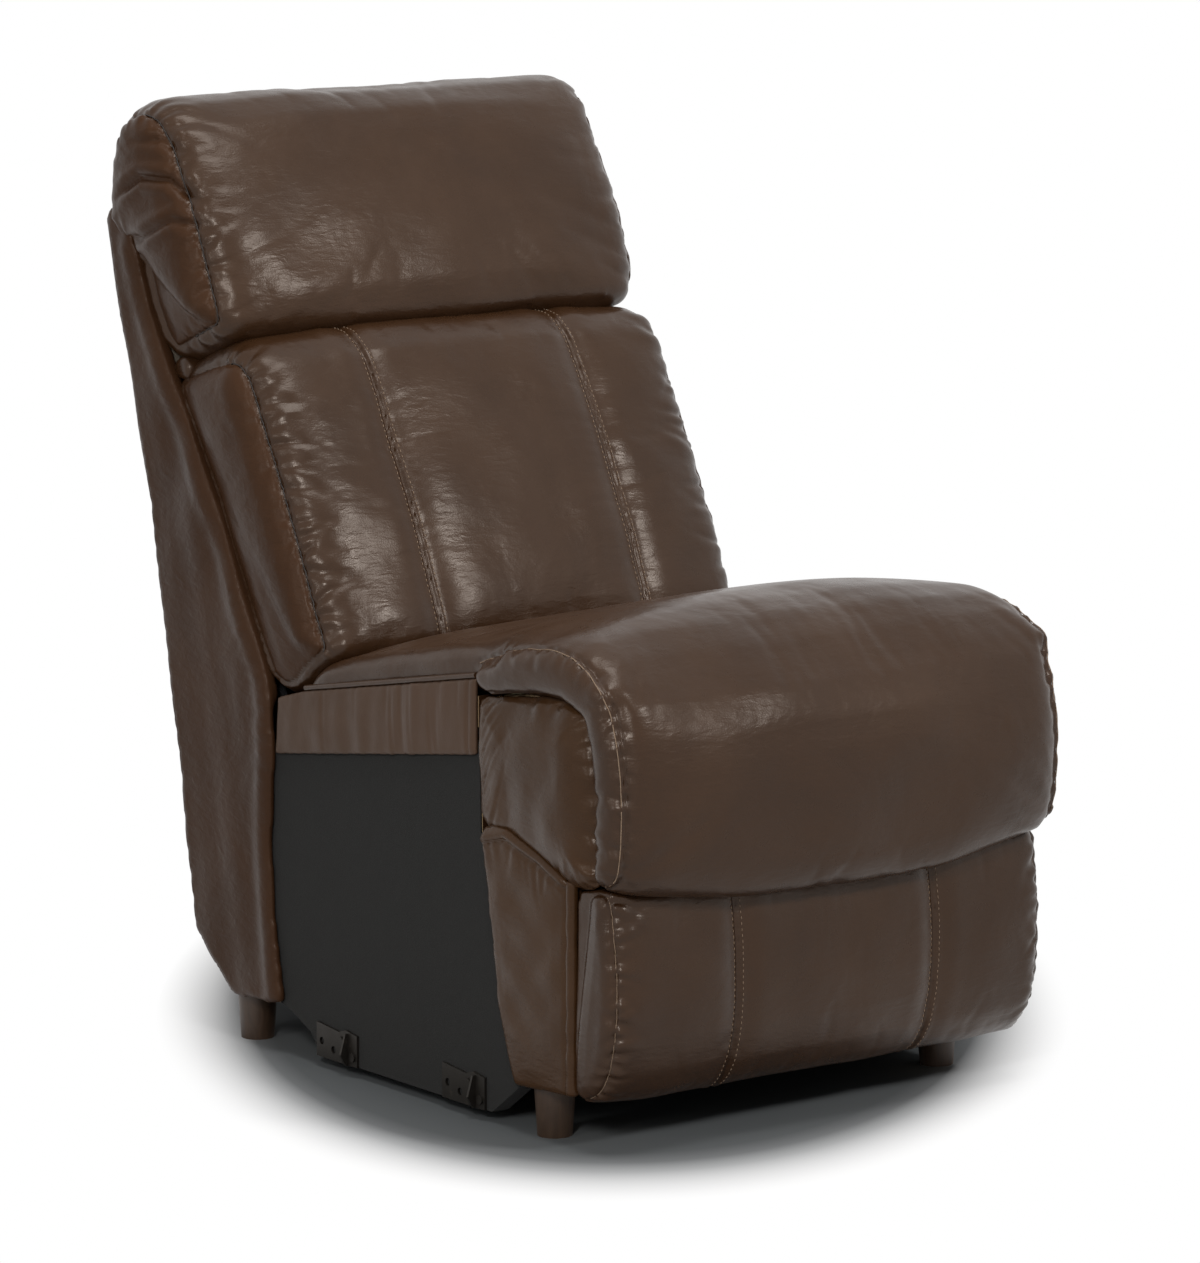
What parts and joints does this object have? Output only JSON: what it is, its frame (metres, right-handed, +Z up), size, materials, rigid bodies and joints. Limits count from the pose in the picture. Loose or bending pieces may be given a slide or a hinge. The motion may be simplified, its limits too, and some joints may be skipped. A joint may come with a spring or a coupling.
{
  "type": "armless_recliner",
  "caption": "armless recliner section with reclining padded back, seat that swings forward, and a footrest that folds out of the seat front",
  "frame": {"origin": "centre of the outline, on the floor under the feet", "axes": "+X to the sitter's left, front of the seat faces -Y, +Z up"},
  "size_m": [0.608, 0.966, 1.0269],
  "materials": {
    "frame_wood": "raw",
    "black_cloth": "matte",
    "leather": "semi-gloss",
    "foot_wood": "satin",
    "bracket_steel": "satin",
    "link_steel": "satin",
    "spring_steel": "satin",
    "foam": "matte",
    "webbing": "matte"
  },
  "bodies": {
    "base": {"base_side_left": "frame_wood", "base_side_right": "frame_wood", "front_rail": "frame_wood", "rear_rail": "frame_wood", "base_corner_blocks": "frame_wood", "side_cloth_left": "black_cloth", "side_cloth_right": "black_cloth", "front_post_left": "leather", "front_post_right": "leather", "post_welts": "leather", "lower_cover_left": "leather", "lower_cover_right": "leather", "rear_cover": "leather", "back_gusset": "leather", "dust_cover": "black_cloth", "foot_front_left": "foot_wood", "foot_front_right": "foot_wood", "foot_rear_left": "foot_wood", "foot_rear_right": "foot_wood", "connectors_left": "bracket_steel", "connectors_right": "bracket_steel", "connector_screws": "bracket_steel", "base_plates": "link_steel"},
    "swing": {"swing_links": "link_steel"},
    "seat": {"seat_plates": "link_steel", "seat_side_rails": "frame_wood", "seat_cross_rails": "frame_wood", "seat_corner_blocks": "frame_wood", "seat_springs": "spring_steel", "seat_foam": "foam", "seat_pad": "leather", "pad_roll_left": "leather", "pad_roll_right": "leather", "side_bolster_left": "leather", "side_bolster_right": "leather", "seat_strip_left": "leather", "seat_strip_right": "leather", "seat_piping": "leather"},
    "back": {"back_brackets": "link_steel", "back_stile_left": "frame_wood", "back_stile_right": "frame_wood", "back_rails": "frame_wood", "back_straps": "webbing", "back_wing_left": "leather", "back_wing_right": "leather", "outer_back": "leather", "lumbar_cushion": "leather", "head_cushion": "leather"},
    "footrest": {"pad_drop": "leather", "drop_roll_left": "leather", "drop_roll_right": "leather", "footrest_cushion": "leather", "footrest_boards": "frame_wood", "footrest_brackets": "link_steel"},
    "rear_link": {"rear_links": "link_steel", "cross_tube": "link_steel"},
    "front_link": {"front_links": "link_steel"},
    "carrier": {"carrier_bars": "link_steel"},
    "tie": {"tie_bars": "link_steel"}
  },
  "joints": [
    {"name": "back_recline", "type": "hinge", "parent": "base", "child": "back", "pos_m": [0, 0.2, 0.385], "axis": [-1, 0, 0], "range_deg": [0, 30], "deforming": ["back_gusset"]},
    {"name": "swing_link", "type": "hinge", "parent": "base", "child": "swing", "pos_m": [0, -0.205, 0.33], "axis": [-1, 0, 0], "range_deg": [0, 30]},
    {"name": "seat_shift", "type": "hinge", "parent": "swing", "child": "seat", "pos_m": [0, -0.179, 0.233], "axis": [-1, 0, 0], "range_deg": [-30, 0]},
    {"name": "footrest_open", "type": "hinge", "parent": "seat", "child": "footrest", "pos_m": [0, -0.441, 0.493], "axis": [-1, 0, 0], "range_deg": [0, 80]},
    {"name": "rear_link_turn", "type": "hinge", "parent": "seat", "child": "rear_link", "pos_m": [0, -0.215, 0.405], "axis": [-1, 0, 0], "range_deg": [0, 80]},
    {"name": "front_link_turn", "type": "hinge", "parent": "seat", "child": "front_link", "pos_m": [0, -0.2828, 0.4314], "axis": [-1, 0, 0], "range_deg": [0, 80]},
    {"name": "carrier_turn", "type": "hinge", "parent": "rear_link", "child": "carrier", "pos_m": [0, -0.141, 0.162], "axis": [-1, 0, 0], "range_deg": [-80, 0]},
    {"name": "tie_turn", "type": "hinge", "parent": "rear_link", "child": "tie", "pos_m": [0, -0.15432, 0.20574], "axis": [-1, 0, 0], "range_deg": [-80, 0]}
  ],
  "couplings": [
    {"joint": "swing_link", "follows": "back_recline", "ratio": 1},
    {"joint": "seat_shift", "follows": "back_recline", "ratio": -1},
    {"joint": "rear_link_turn", "follows": "footrest_open", "ratio": 1},
    {"joint": "front_link_turn", "follows": "footrest_open", "ratio": 1},
    {"joint": "carrier_turn", "follows": "footrest_open", "ratio": -1},
    {"joint": "tie_turn", "follows": "footrest_open", "ratio": -1}
  ]
}
